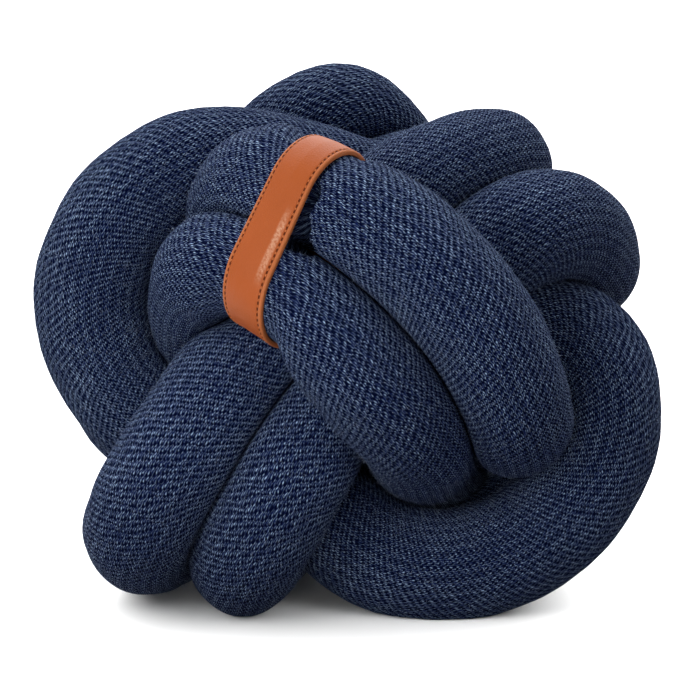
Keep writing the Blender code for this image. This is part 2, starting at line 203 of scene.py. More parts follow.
# Pressing of the skin.
PRESS_STEPS = 12
BAND_SHARE = 0.8  # share of a strand's reach into the band's back that a step takes
BEND_SPANS = (0.4, 1.0)  # tube radii over which the bend is measured
BEND_FILL = 0.80  # how much of the inside of a bend the tube may fill
LEAST_RADIUS = 4.0
NEAR = 62.0  # no strand further than this from a ring's middle can touch its skin
BATCH = 20  # rings that are pressed together
RING_STEP = 2.0  # half of the longest step from ring to ring
FAR = 1e9  # square of a distance that never counts
ROUNDINGS = 5  # how often the edges of the pressed faces are rounded
Wave = namedtuple("Wave", "turns_along turns_round phase")
LUMPS = (Wave(8, 1, 0.9), Wave(20, -2, 2.1), Wave(36, 3, 4.0),
         Wave(56, -1, 5.3), Wave(92, 4, 1.7), Wave(124, -3, 0.4))
LUMP_HEIGHT = 0.28

# Loose fibres of the yarn.
FUZZ_SEED = 7
FUZZ_WIDTH = 0.10
FUZZ_ROOT = 0.15  # how deep inside the skin a fibre starts
FUZZ_SHORTEST = 0.35  # length of the shortest fibres as a share of the longest
FUZZ_PRESSED = 1.5  # fibres are left out where the skin is pressed in by more than this
FUZZ_FLOOR = 2.0  # and nearer than this to the floor

# Stitches of the band. Rings and sides are those of one stitch's thread.
STITCH_STEPS = 12  # points along the band's way for each stitch
STITCH_SPAN = (0.27, 0.73)  # where a stitch starts and ends, as shares of its length
THREAD_RINGS = 9
THREAD_SIDES = 8
THREAD_SUNK = 0.05  # how far the ends of a stitch go into the leather
THREAD_END = 0.25  # thickness of its ends as a share of its middle's


def to_model(places):
    """Middle-of-knot coordinates of the places, turned upright and set above the floor."""
    lean = math.radians(TIP_BACK)
    rows = []
    for place in places:
        back = place.up * math.sin(lean) - place.front * math.cos(lean)
        height = place.up * math.cos(lean) + place.front * math.sin(lean)
        rows.append((place.right, back, height + BALL_HEIGHT))
    return np.array(rows, dtype=float)


def closed_lengths(line):
    """Length along a closed line at each of its points, and its whole length at the end."""
    steps = np.linalg.norm(np.roll(line, -1, axis=0) - line, axis=1)
    return np.concatenate([[0.0], np.cumsum(steps)])


def closed_spline(knots, holds, count):
    """Closed cubic spline through the knots, with equal slope and bend on both sides of each,
    read at equal steps, and the hold at each step."""
    total = len(knots)
    lengths = closed_lengths(knots)
    after = np.diff(lengths)
    before = np.roll(after, 1)
    slope = (np.roll(knots, -1, axis=0) - knots) / after[:, None]
    ahead = np.roll(np.eye(total), 1, axis=1)
    system = np.diag(2.0 * (before + after)) + after[:, None] * ahead + before[:, None] * ahead.T
    bend = np.linalg.solve(system, 6.0 * (slope - np.roll(slope, 1, axis=0)))
    where = np.linspace(0.0, lengths[-1], count, endpoint=False)
    i = np.searchsorted(lengths, where, side="right") - 1
    j = (i + 1) % total
    step = after[i][:, None]
    late = (where - lengths[i])[:, None]
    early = step - late
    line = (bend[i] * early ** 3 + bend[j] * late ** 3) / (6.0 * step)
    line += (knots[i] / step - bend[i] * step / 6.0) * early
    line += (knots[j] / step - bend[j] * step / 6.0) * late
    return line, np.interp(where, lengths, np.append(holds, holds[0]))


def respaced(line, count, keep=0.0):
    """The closed line at equal steps; keep is the share of the old steps that stays."""
    lengths = closed_lengths(line)
    where = np.linspace(0.0, lengths[-1], count, endpoint=False)
    if keep:
        where = (1.0 - keep) * where + keep * lengths[:-1]
    ring = np.vstack([line, line[:1]])
    return np.stack([np.interp(where, lengths, ring[:, axis]) for axis in range(3)], axis=1)


def unit(vectors):
    """Vectors of length 1 along the given ones."""
    return vectors / np.linalg.norm(vectors, axis=-1, keepdims=True)


def headings(line):
    """Unit vectors along a closed line, one at each of its points."""
    return unit(np.roll(line, -1, axis=0) - np.roll(line, 1, axis=0))


def evened(line, reach):
    """Each point where the cubic through its four neighbours at reach and twice reach is."""
    near = np.roll(line, reach, axis=0) + np.roll(line, -reach, axis=0)
    wide = np.roll(line, 2 * reach, axis=0) + np.roll(line, -2 * reach, axis=0)
    return (4.0 * near - wide) / 6.0


def settled(line, holds):
    """The line after its strands have pushed each other apart and off the floor."""
    target = line.copy()
    line = line.copy()
    count = len(line)
    step = closed_lengths(line)[-1] / count
    steps = np.abs(np.arange(count)[:, None] - np.arange(count))
    others = np.minimum(steps, count - steps) > int(math.ceil(math.pi * BEND_RADIUS / step))
    mass = 1.0 + HOLD_MASS * holds
    share = mass / (mass[:, None] + mass)
    for turn in range(SETTLE_STEPS):
        line += HOLD_SHARE * holds[:, None] * (target - line)
        line += BEND_SHARE * (evened(line, 1) - line)
        line += EASE_SHARE * (evened(line, BEND_REACH) - line)
        for _ in range(PUSHES):
            away = line[:, None] - line
            distance = np.sqrt((away ** 2).sum(axis=2)) + 1e-9
            lack = np.where(others & (distance < STRAND_SPACING), STRAND_SPACING - distance, 0.0)
            push = ((lack / distance * share)[:, :, None] * away).sum(axis=1)
            line += PUSH_SHARE * push / np.maximum((lack > 0).sum(axis=1), 1)[:, None]
        line[:, 2] = np.maximum(line[:, 2], FLOOR_HEIGHT)
        if (turn + 1) % RESPACE_EVERY == 0:
            line = respaced(line, count, keep=RESPACE_KEEP)
    for _ in range(FINISH_STEPS):
        line += EASE_SHARE * (evened(line, FINISH_REACH) - line)
    return line


@functools.lru_cache(maxsize=None)
def route():
    """The settled middle line of the tube."""
    places = [Place(*row) for row in LOOP_A + LOOP_B + LOOP_C]
    holds = np.array([place.hold for place in places])
    line, hold = closed_spline(to_model(places), holds, ROUTE_POINTS)
    return settled(line, hold)


def crossing(line, origin, normal, near):
    """Where the closed line goes through a plane, at the crossing nearest to a point."""
    side = (line - origin) @ normal
    after = np.roll(side, -1)
    i = np.nonzero(side * after < 0.0)[0]
    share = (side[i] / (side[i] - after[i]))[:, None]
    points = line[i] + share * (np.roll(line, -1, axis=0)[i] - line[i])
    return points[np.argmin(np.linalg.norm(points - near, axis=1))]


class Loop:
    """The band's way round two strands: in each plane across them, the half circles about
    their middles and the two straight runs that join these."""

    def __init__(self, line):
        self.line = line
        self.anchors = upper, lower = to_model((BAND_UPPER, BAND_LOWER))
        self.origin = 0.5 * (upper + lower)
        ahead = headings(line)
        first, second = [np.argmin(np.linalg.norm(line - near, axis=1)) for near in self.anchors]
        across = unit(upper - lower)
        normal = ahead[first] + ahead[second]
        normal = unit(normal - (normal @ across) * across)
        self.normal = -normal if normal[0] < 0.0 else normal
        self.inner = TUBE_RADIUS - BAND_WAIST
        self.outer = self.inner + BAND_THICKNESS

    def middles(self, offset):
        """Middles of the loop's upper and lower half circle at an offset across the band."""
        origin = self.origin + offset * self.normal
        upper, lower = [crossing(self.line, origin, self.normal, near) for near in self.anchors]
        across = unit(upper - lower)
        return [upper - BAND_DRAW_DOWN * across, lower + BAND_DRAW_UP * across]

    def outline(self, offset, height, steps):
        """Closed way round the two strands in the plane at an offset across the band, at a
        height above the band's inside, and the outward direction along it."""
        upper, lower = self.middles(offset)
        across = upper - lower
        apart = np.linalg.norm(across)
        across /= apart
        side = np.cross(self.normal, across)
        half = math.pi * self.inner
        run = np.arange(steps) / steps * 2.0 * (half + apart)
        turns = [np.clip((run - start) / half, 0.0, 1.0) for start in (0.0, half + apart)]
        slides = [np.clip((run - start) / apart, 0.0, 1.0) for start in (half, 2.0 * half + apart)]
        angle = math.pi * (turns[0] + turns[1])
        share = (slides[0] - slides[1])[:, None]
        out = np.cos(angle)[:, None] * side + np.sin(angle)[:, None] * across
        middle = upper + share * (lower - upper)
        return middle + (self.inner + height) * out, out

    def reach(self, points):
        """Offset of each point across the band, and its distance from the strands' middles."""
        flat = points.reshape(-1, 3)
        offset = (flat - self.origin) @ self.normal
        grid = np.linspace(-BAND_WIDTH, BAND_WIDTH, 9)
        middles = np.array([self.middles(value) for value in grid])
        held = np.clip(offset, grid[0], grid[-1])
        ends = [np.stack([np.interp(held, grid, middles[:, k, axis]) for axis in range(3)], axis=1)
                for k in range(2)]
        run = ends[1] - ends[0]
        flat = flat - (offset - held)[:, None] * self.normal
        share = ((flat - ends[0]) * run).sum(axis=1) / (run ** 2).sum(axis=1)
        nearest = ends[0] + np.clip(share, 0.0, 1.0)[:, None] * run
        away = np.linalg.norm(flat - nearest, axis=1)
        return offset.reshape(points.shape[:-1]), away.reshape(points.shape[:-1])

    def level(self, points):
        """Where points lie between the two strands: 0 at the lower middle, 1 at the upper."""
        upper, lower = self.middles(0.0)
        return (points - lower) @ (upper - lower) / ((upper - lower) ** 2).sum()

    def holds(self, line):
        """True for each point of a strand's middle line that the band goes round."""
        offset, away = self.reach(line)
        return (away < TUBE_RADIUS / 2.0) & (np.abs(offset) < 2.0 * BAND_WIDTH)


@functools.lru_cache(maxsize=None)
def loop():
    """The band's way round its two strands."""
    return Loop(route())


def arms(line, sides):
    """Unit arms from a closed line's points across it, a ring of them at each point: the first
    arm is carried along without twist, and the twist left at the end is spread evenly."""
    ahead = headings(line)
    carried = [unit(np.cross(ahead[0], (0.0, 0.0, 1.0)))]
    for direction in np.vstack([ahead[1:], ahead[:1]]):
        carried.append(unit(carried[-1] - (carried[-1] @ direction) * direction))
    start, end = carried[0], carried.pop()
    left = math.atan2(np.cross(end, start) @ ahead[0], end @ start)
    carried = np.array(carried)
    beside = np.cross(ahead, carried)
    spread = left * np.arange(len(line)) / len(line)
    angle = spread[:, None] + TURN * np.arange(sides) / sides
    return (np.cos(angle)[:, :, None] * carried[:, None, :]
            + np.sin(angle)[:, :, None] * beside[:, None, :])


def bends(line, reach):
    """How sharply a closed line of equal steps bends at each point, toward which side."""
    step = closed_lengths(line)[-1] / len(line)
    bend = np.roll(line, reach, axis=0) + np.roll(line, -reach, axis=0) - 2.0 * line
    return bend / (reach * step) ** 2


def past_neighbour(line, arm, radius, limit):
    """How far each point of the skin reaches past the middle between its own strand and the
    nearest other one: half of (own distance + gap - other distance), where it is positive.
    Points less than limit steps apart along the tube belong to one strand."""
    count = len(line)
    past = np.zeros_like(radius)
    for start in range(0, count, BATCH):
        batch = slice(start, start + BATCH)
        rings = np.arange(count)[batch]
        points = (line[batch][:, None] + radius[batch][:, :, None] * arm[batch]).reshape(-1, 3)
        centre = line[batch].mean(axis=0)
        close = np.nonzero(np.linalg.norm(line - centre, axis=1) < NEAR + BATCH * RING_STEP)[0]
        steps = np.abs(rings[:, None] - close)
        others = np.repeat(np.minimum(steps, count - steps) > limit, radius.shape[1], axis=0)
        squared = ((points ** 2).sum(axis=1)[:, None] + (line[close] ** 2).sum(axis=1)
                   - 2.0 * points @ line[close].T)
        nearest = np.sqrt(np.maximum(np.where(others, squared, FAR).min(axis=1), 0.0))
        nearest = nearest.reshape(len(rings), -1)
        past[batch] = 0.5 * np.maximum(radius[batch] + CONTACT_GAP - nearest, 0.0)
    return past


def past_band(points, inside):
    """How far each point reaches past the inside of the band where the band goes round its
    strand, or into the back of the band where the strand only passes behind it."""
    offset, away = loop().reach(points)
    wide = BAND_WIDTH / 2.0 + BAND_MARGIN
    length = np.where(offset > 0.0, BAND_EASE_RIGHT, BAND_EASE)
    ease = np.maximum(np.abs(offset) - wide, 0.0) ** 2 / (2.0 * length)
    over = away - (loop().inner - BAND_CLEARANCE + ease)
    under = loop().outer + BAND_GAP_BEHIND - ease - away
    into = np.where(inside[:, None], over, BAND_SHARE * under)
    into[np.abs(offset) > wide + BAND_EASE] = 0.0
    return np.maximum(into, 0.0)


def step_up(value, low, high):
    """0 up to low, 1 from high on, and an S-shaped rise between them."""
    share = np.clip((value - low) / (high - low), 0.0, 1.0)
    return share * share * (3.0 - 2.0 * share)


def wedge(points, inside):
    """Depth of the dark wedge right of the band at each point: it starts under the band's
    edge and reaches further past it from its tip on the upper strand down to its foot."""
    above, below = WEDGE_TIP_FADE
    offset = loop().reach(points)[0] - BAND_WIDTH / 2.0
    level = loop().level(points)
    down = np.clip((WEDGE_TIP - level) / (WEDGE_TIP - WEDGE_FOOT), 0.0, 1.0)
    past = offset - WEDGE_WIDTH * down
    deep = step_up(offset, *WEDGE_START) * step_up(-past, 0.0, WEDGE_WALL)
    deep *= (step_up(level, WEDGE_FOOT - WEDGE_FOOT_FADE, WEDGE_FOOT)
             * step_up(-level, -WEDGE_TIP - above, -WEDGE_TIP + below))
    return WEDGE_DEPTH * deep * inside[:, None]


def lumps(rings, sides):
    """Small unevenness of the stuffing: a sum of waves, each with a number of turns along the
    tube and round it, on a grid of rings and sides."""
    along = TURN * np.arange(rings)[:, None] / rings
    around = TURN * np.arange(sides) / sides
    return LUMP_HEIGHT * sum(np.sin(wave.turns_along * along + wave.turns_round * around
                                    + wave.phase) for wave in LUMPS)


@functools.lru_cache(maxsize=None)
def skin(rings, sides):
    """The tube's skin as a grid of points: middle line + radius * arm, where the radius is
    the free one, less whatever a bend, a neighbouring strand, the band or the floor takes."""
    line = respaced(route(), rings)
    arm = arms(line, sides)
    middle = line[:, None, :]
    radius = TUBE_RADIUS + lumps(rings, sides)
    step = closed_lengths(line)[-1] / rings
    for share in BEND_SPANS:
        bend = bends(line, int(round(share * TUBE_RADIUS / step)))[:, None, :]
        inward = np.maximum((arm * bend).sum(axis=2), 1e-6)
        radius = np.minimum(radius, BEND_FILL / inward)
    limit = int(math.ceil(math.pi * BEND_RADIUS / step))
    inside = loop().holds(line)
    for _ in range(PRESS_STEPS):
        cut = past_neighbour(line, arm, radius, limit)
        cut = np.maximum(cut, past_band(middle + radius[:, :, None] * arm, inside))
        radius = np.maximum(radius - cut, LEAST_RADIUS)
    for _ in range(ROUNDINGS):
        near = sum(np.roll(radius, shift, axis=axis) for shift in (1, -1) for axis in (0, 1))
        radius = np.minimum(radius, 0.25 * near)
    radius = radius - wedge(middle + radius[:, :, None] * arm, inside)
    points = middle + np.maximum(radius, LEAST_RADIUS)[:, :, None] * arm
    points[:, :, 2] = np.maximum(points[:, :, 2], 0.0)
    return points


def to_frame(knit):
    """Shift in millimetres from the route's place to the frame's: the tube's box is centred."""
    points = skin(knit.rings, knit.sides)
    centre = 0.5 * (points.min(axis=(0, 1)) + points.max(axis=(0, 1)))
    return np.array([-centre[0], -centre[1], 0.0])


def cell_corners(cells_down, cells_round):
    """Row and column of the four corners of each cell of a grid, as two arrays (cell, 4)."""
    i, j = np.indices((cells_down, cells_round)).reshape(2, -1, 1)
    return i + np.array([0, 0, 1, 1]), j + np.array([0, 1, 1, 0])


def face_mesh(name, points, faces, uv_name, places):
    """Smooth mesh of points in millimetres, with a place on its UV map for each corner."""
    mesh = bpy.data.meshes.new(name)
    mesh.from_pydata((points.reshape(-1, 3) * MM).tolist(), [], faces)
    layer = mesh.uv_layers.new(name=uv_name)
    layer.data.foreach_set("uv", places.astype(np.float32).ravel())
    mesh.shade_smooth()
    return mesh


def grid_mesh(name, points, uv_name, across=None, closed=True):
    """Mesh of a grid of points (down, round, 3), closed both ways or neither. The first number
    of its UV map goes round the grid, or is across's own, and the second goes down from 0 to 1."""
    down, around = points.shape[:2]
    cells_down, cells_round = (down, around) if closed else (down - 1, around - 1)
    rows, columns = cell_corners(cells_down, cells_round)
    if across is None:
        across = np.arange(cells_round + 1) / cells_round
    faces = rows % down * around + columns % around
    places = np.stack([across[columns], rows / cells_down], axis=-1)
    return face_mesh(name, points, faces.tolist(), uv_name, places)


def thread_mesh(name, tubes):
    """One mesh of many short tubes (tube, along, round, 3) with closed ends. Its UV map's first
    number goes round each tube and its second goes along it from 0 to 1."""
    count, along, around = tubes.shape[:3]
    rows, columns = cell_corners(along - 1, around)
    start = along * around * np.arange(count)[:, None, None]
    sides = (start + rows * around + columns % around).reshape(-1, 4)
    ends = np.stack([np.arange(around)[::-1], (along - 1) * around + np.arange(around)])
    ends = (start + ends).reshape(-1, around)
    corner = np.concatenate([sides.ravel(), ends.ravel()]) % (along * around)
    places = np.stack([corner % around / around, corner // around / (along - 1)], axis=1)
    return face_mesh(name, tubes, sides.tolist() + ends.tolist(), "thread", places)


def add_object(name, data):
    """A new object in the scene."""
    made = bpy.data.objects.new(name, data)
    bpy.context.scene.collection.objects.link(made)
    return made


def add_piece(name, mesh, material, replaces=None):
    """Puts a mesh in the scene as a piece that rides on the cushion."""
    mesh.materials.append(material)
    piece = add_object(name, mesh)
    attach(piece, "root")
    if replaces:
        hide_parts(replaces)
    return piece


def math_method(operation):
    """A method of Value that adds a Math node for an operation on it and on other values."""
    def method(self, *others):
        return self.shader.maths(operation, self, *others)
    return method


class Value:
    """A number that varies over a surface: sums and products of it add Math nodes."""

    def __init__(self, shader, socket):
        self.shader = shader
        self.socket = socket

    __add__ = __radd__ = math_method("ADD")
    __mul__ = __rmul__ = math_method("MULTIPLY")
    __sub__ = math_method("SUBTRACT")
    __truediv__ = math_method("DIVIDE")
    __pow__ = math_method("POWER")
    __abs__ = math_method("ABSOLUTE")
    round = math_method("ROUND")
    sin = math_method("SINE")
    cos = math_method("COSINE")
    modulo = math_method("FLOORED_MODULO")
    at_most = math_method("MINIMUM")
    at_least = math_method("MAXIMUM")
    times_plus = math_method("MULTIPLY_ADD")

    def __rsub__(self, other):
        return self.shader.maths("SUBTRACT", other, self)

    def smooth(self, low, high):
        """0 up to low, 1 from high on, and an S-shaped rise between them."""
        return self.shader.read("ShaderNodeMapRange", "Result",
                                {"Value": self, "From Min": low, "From Max": high},
                                interpolation_type="SMOOTHSTEP")


class Shader:
    """The node tree of a material or of the world, built from Python expressions."""

    def __init__(self, owner, surface="Principled BSDF"):
        owner.use_nodes = True
        self.owner = owner
        self.tree = owner.node_tree
        self.surface = self.tree.nodes[surface]

    def node(self, kind, inputs, **settings):
        """A node of a kind, with its settings set first and then its sockets' values or links."""
        made = self.tree.nodes.new(kind)
        for name, value in settings.items():
            setattr(made, name, value)
        for name, value in inputs.items():
            if isinstance(value, Value):
                self.tree.links.new(value.socket, made.inputs[name])
            else:
                made.inputs[name].default_value = value
        return made

    def read(self, kind, output, inputs, **settings):
        """The value of one output of a new node."""
        return Value(self, self.node(kind, inputs, **settings).outputs[output])

    def maths(self, operation, *values):
        return self.read("ShaderNodeMath", 0, dict(enumerate(values)), operation=operation)

    def uv(self, name):
        """The two numbers of a UV map."""
        place = self.read("ShaderNodeUVMap", "UV", {}, uv_map=name)
        parts = self.node("ShaderNodeSeparateXYZ", {"Vector": place})
        return Value(self, parts.outputs["X"]), Value(self, parts.outputs["Y"])

    def place(self):
        """The place on the object, in metres."""
        return self.read("ShaderNodeTexCoord", "Object", {})

    def point(self, x, y):
        return self.read("ShaderNodeCombineXYZ", "Vector", {"X": x, "Y": y, "Z": 0.0})

    def noise(self, place, scale, detail=1.0):
        """Smooth noise from 0 to 1 about 0.5."""
        return self.read("ShaderNodeTexNoise", "Fac",
                         {"Vector": place, "Scale": scale, "Detail": detail})

    def chance(self, place):
        """A number from 0 to 1 that jumps from each whole place to the next."""
        return self.read("ShaderNodeTexWhiteNoise", "Value", {"Vector": place})

    def cells(self, place, scale):
        """Distance to the nearest of scattered points."""
        return self.read("ShaderNodeTexVoronoi", "Distance", {"Vector": place, "Scale": scale})

    def blend(self, share, first, second):
        """A colour between two colours."""
        return self.read("ShaderNodeMix", 2, {0: share, 6: first, 7: second}, data_type="RGBA")

    def bump(self, height, distance):
        """The surface's normal over a height from 0 to 1 times a distance in metres."""
        return self.read("ShaderNodeBump", "Normal", {"Height": height, "Distance": distance})

    def connect(self, name, value):
        self.tree.links.new(value.socket, self.surface.inputs[name])

    def constants(self, **values):
        """Sets the surface's own sockets; a name's underscores stand for spaces."""
        for name, value in values.items():
            self.surface.inputs[name.replace("_", " ")].default_value = value

    def paint_shade_in_gaps(self, share, colour):
        """Mixes the surface with a dull dark one: painted shade where the gaps of a knit are."""
        dark = self.node("ShaderNodeBsdfPrincipled", {"Base Color": rgba(colour), "Roughness": 1.0,
                                                      "Specular IOR Level": 0.0})
        both = self.node("ShaderNodeMixShader", {0: share})
        self.tree.links.new(self.surface.outputs[0], both.inputs[1])
        self.tree.links.new(dark.outputs[0], both.inputs[2])
        self.tree.links.new(both.outputs[0], self.tree.nodes["Material Output"].inputs["Surface"])


def new_shader(name):
    return Shader(bpy.data.materials.new(name))


def rgba(colour, share=1.0):
    """A colour property as four numbers, darker or lighter by a share."""
    return (colour[0] * share, colour[1] * share, colour[2] * share, 1.0)


def knit_material(look, rows):
    """Mesh knit of a melange yarn. Holes stand where cos(pi * column) * cos(2 pi * row) is
    high, so those of one column stand halfway between those of the next. Fine plies run
    along the tube and pass round the holes. Each stitch has its own share of light fibres."""
    shader = new_shader("knit")
    round_share, along_share = shader.uv("knit")
    place = shader.place()
    columns = 4 * look.repeats

    # Columns sway and jog sideways, rows drift and jog along the tube.
    sway = shader.noise(place, scale=90.0) - 0.5
    drift = shader.noise(place, scale=75.0, detail=2.0) - 0.5
    jog = shader.noise(place, scale=420.0) - 0.5
    across = round_share * columns + sway * 0.7 + jog * 0.4
    along = along_share * rows + across * (look.slant / 4.0) + drift * 0.8 + jog * 0.2

    wave = (along * TURN).cos()
    lattice = (across * math.pi).cos() * wave + (across * (0.5 * math.pi)).cos() * 0.22
    ragged = shader.noise(place, scale=700.0) - 0.5
    # Where the holes are: they are sunk in the bump, and the dull dark surface mixed in there is
    # painted shade.
    gap = (lattice + ragged * 0.6).smooth(0.0, 0.40)

    # Three plies to two columns, each a row of short strokes with chance lightness.
    bent = across + (along * TURN).sin() * (across * math.pi).sin() * 0.16
    ply = (bent * (3.0 * math.pi)).sin()
    strand = (bent * 1.5 - 0.25).round()
    run = along * 2.0 + strand * 0.37
    level = run.round()
    chance = shader.chance(shader.point(strand.modulo(1.5 * columns), level))
    tip = ((run - level) * math.pi).cos()
    fuzz = shader.noise(place, scale=1300.0)

    light = (ply * 0.6 + 0.4) * (tip * 0.6 + 0.4) * (chance * 0.8 + 0.45) + (fuzz - 0.5) * 0.4
    light = light.at_least(0.0).at_most(1.0) ** 2.0
    yarn = shader.blend(light, rgba(look.yarn), rgba(look.yarn_light))
    cloudy = shader.noise(place, scale=28.0, detail=3.0)
    yarn = shader.blend((cloudy - 0.35).at_least(0.0) * 0.5, yarn, rgba(look.yarn, 0.75))
    height = ply * 0.2 + light * 0.5 - gap * 1.0 + fuzz * 0.2
    shader.connect("Base Color", yarn)
    shader.connect("Normal", shader.bump(height, look.relief))
    shader.constants(Roughness=0.85, Sheen_Weight=look.sheen, Sheen_Roughness=0.20,
                     Specular_IOR_Level=0.05, Sheen_Tint=rgba(look.sheen_colour))
    # Painted shade: the holes get a dull dark surface in place of the shade inside them.
    shader.paint_shade_in_gaps(gap * 0.97, look.gap)
    return shader.owner


def a_colour(name, description, *default):
    """Property for a colour."""
    return FloatVectorProperty(name=name, description=description, default=default,
                               subtype="COLOR", min=0.0, max=1.0)


def a_length(name, description, default, least=0.0):
    """Property for a length in metres."""
    return FloatProperty(name=name, description=description, default=default, min=least,
                         unit="LENGTH", precision=5)


def a_share(name, description, default):
    """Property for a share from 0 to 1."""
    return FloatProperty(name=name, description=description, default=default, min=0.0, max=1.0,
                         subtype="FACTOR", precision=3)


def a_count(name, description, default, least=0):
    """Property for a whole number."""
    return IntProperty(name=name, description=description, default=default, min=least)


class KnitLook(bpy.types.PropertyGroup):
    """Sizes and colours of the knitted tube and its loose fibres."""
    rings: a_count("Rings", "Rings of points along the tube", 1400, 280)
    sides: a_count("Sides", "Points in each ring", 64, 16)
    repeats: a_count("Repeats", "Repeats of four stitch columns round the tube", 30, 4)
    row_height: a_length("Row height", "Length of one row of stitches", 0.00295, 0.0005)
    slant: a_count("Slant", "Rows that the knit climbs in each repeat", 1, -4)
    relief: a_length("Relief", "Height of the threads", 0.0010)
    yarn: a_colour("Yarn", "Colour of the yarn", 0.0035, 0.0115, 0.075)
    yarn_light: a_colour("Light fibres", "Colour of the light fibres", 0.510, 0.710, 1.000)
    # Painted shade: the dark colour painted in the knit's holes in place of the shade inside them.
    gap: a_colour("Gaps", "Colour seen in the gaps", 0.0002, 0.0018, 0.018)
    sheen: a_share("Sheen", "Weight of the fibres' sheen", 0.12)
    sheen_colour: a_colour("Sheen colour", "Colour of the sheen", 0.55, 0.68, 0.95)
    fuzz_count: a_count("Fuzz", "Loose fibres, with those left out where the tube is pressed",
                        90000)
    fuzz_length: a_length("Fuzz length", "Length of the longest fibres", 0.0025)
    fuzz_colour: a_colour("Fuzz colour", "Colour of the loose fibres", 0.58, 0.70, 0.98)


class BandLook(bpy.types.PropertyGroup):
    """Sizes and colours of the leather band and its stitches."""
    leather: a_colour("Leather", "Colour of the leather", 0.40, 0.088, 0.018)
    rim: a_colour("Rims", "Colour of the rolled rims", 0.52, 0.17, 0.06)
    seam: a_colour("Seams", "Colour of the grooves under the stitches", 0.189, 0.0455, 0.0126)
    # Painted shade: the dark colour painted in the dents at the stitch ends, in place of the shade
    # in their holes.
    dent: a_colour("Dents", "Colour of the dents at the ends of stitches", 0.09, 0.017, 0.005)
    # Painted highlight: the creases of the glossier patch beside the right stitches are painted
    # this lighter colour; the four numbers below place that patch.
    painted_glint: a_colour("Worn", "Colour of the creases in the worn patch", 0.85, 0.50, 0.32)
    glint_along: a_share("Worn along", "Where the worn patch is, as a share of the length", 0.880)
    glint_length: a_share("Worn length", "Half of its length, as a share of the length", 0.085)
    glint_across: a_share("Worn across", "Where it is, as a share of the width", 0.80)
    glint_width: a_share("Worn width", "Half of its width, as a share of the width", 0.095)
    thread: a_colour("Thread", "Colour of the sewing thread", 0.480, 0.150, 0.050)
    stitch: a_length("Stitch", "Length from one stitch to the next", 0.0026, 0.001)
    inset: a_length("Inset", "Distance of the stitches from an edge", 0.0018, 0.0005)
    thread_width: a_length("Thread width", "Width of the sewing thread", 0.0007, 0.0002)
    crown: a_length("Crown", "How much the band bulges along its middle", 0.0003)
    groove: a_length("Groove", "How deep the stitches lie", 0.00035)


class StageLook(bpy.types.PropertyGroup):
    """The floor, the light from all round and the camera."""
    floor: a_colour("Floor", "Colour of the floor", 0.90, 0.90, 0.90)
    sky: FloatProperty(name="Sky", description="Strength of the light from all round",
                       default=0.02, min=0.0)
    distance: a_length("Distance", "Camera's distance from the knot", 1.3, 0.5)
    elevation: FloatProperty(name="Elevation", description="Camera's angle above the horizon",
                             default=math.radians(10.0), unit="ROTATION")
    lens: FloatProperty(name="Lens", description="Focal length in millimetres", default=139.0,
                        min=1.0, unit="CAMERA")


class CUSHION_OT_tube(bpy.types.Operator):
    """Make the knitted tube"""
    bl_idname = "cushion.tube"
    bl_label = "Knitted tube"

    def execute(self, context):
        knit = context.scene.cushion_knit
        length = closed_lengths(respaced(route(), knit.rings))[-1] * MM
        points = skin(knit.rings, knit.sides) + to_frame(knit)
        mesh = grid_mesh("knitted_tube", points, "knit")
        material = knit_material(knit, round(length / knit.row_height))
        tube = add_piece("knitted_tube", mesh, material, "knot_tube")
        return {"FINISHED"}


def fuzz_material(look):
    """Loose fibres of the yarn, some lighter than others."""
    shader = new_shader("yarn_fuzz")
    tone = shader.noise(shader.place(), scale=900.0)
    light = (tone - 0.35).at_least(0.0).at_most(0.3) * 3.3
    shader.connect("Base Color", shader.blend(light, rgba(look.fuzz_colour, 0.35),
                                              rgba(look.fuzz_colour)))
    shader.constants(Roughness=0.9, Specular_IOR_Level=0.1)
    return shader.owner


def fibres(points, count, longest):
    """Loose fibres on a grid of skin points, as (fibre, point, 3): each starts just inside a
    chosen place of the skin, leans by a chance mix of outward and sideways and bends over.
    Its five points are two at the root, two halfway and one at the tip."""
    chance = np.random.default_rng(FUZZ_SEED)
    rings, sides = points.shape[:2]
    row = chance.random(count) * rings
    column = chance.random(count) * sides
    i, j = row.astype(int), column.astype(int)
    here = points[i, j]
    along = points[(i + 1) % rings, j] - here
    round_way = points[i, (j + 1) % sides] - here
    root = here + (row - i)[:, None] * along + (column - j)[:, None] * round_way
    out = np.cross(round_way, along)
    size = np.linalg.norm(out, axis=1)
    away = root - points[i].mean(axis=1)
    out *= np.sign((out * away).sum(axis=1) / size)[:, None] / size[:, None]
    lean = chance.normal(size=(count, 3))
    lean -= (lean * out).sum(axis=1)[:, None] * out
    lean = unit(lean)
    length = FUZZ_SHORTEST + (1.0 - FUZZ_SHORTEST) * chance.random(count) ** 2
    length = longest * length[:, None]
    rise = (0.25 + 0.5 * chance.random(count))[:, None]
    bend = chance.normal(size=(count, 3)) * 0.25
    middle = root + length * (0.5 * rise * out + 0.35 * lean)
    tip = root + length * ((rise + 0.1) * out + 0.8 * lean + bend)
    width = np.cross(out, lean) * (0.5 * FUZZ_WIDTH)
    base = root - FUZZ_ROOT * out
    fibre = np.stack([base - width, base + width, middle + 0.8 * width, middle - 0.8 * width,
                      tip], axis=1)
    fibre[:, :, 2] = np.maximum(fibre[:, :, 2], 0.0)
    free = np.linalg.norm(away, axis=1) > TUBE_RADIUS - FUZZ_PRESSED
    return fibre[free & (root[:, 2] > FUZZ_FLOOR)]


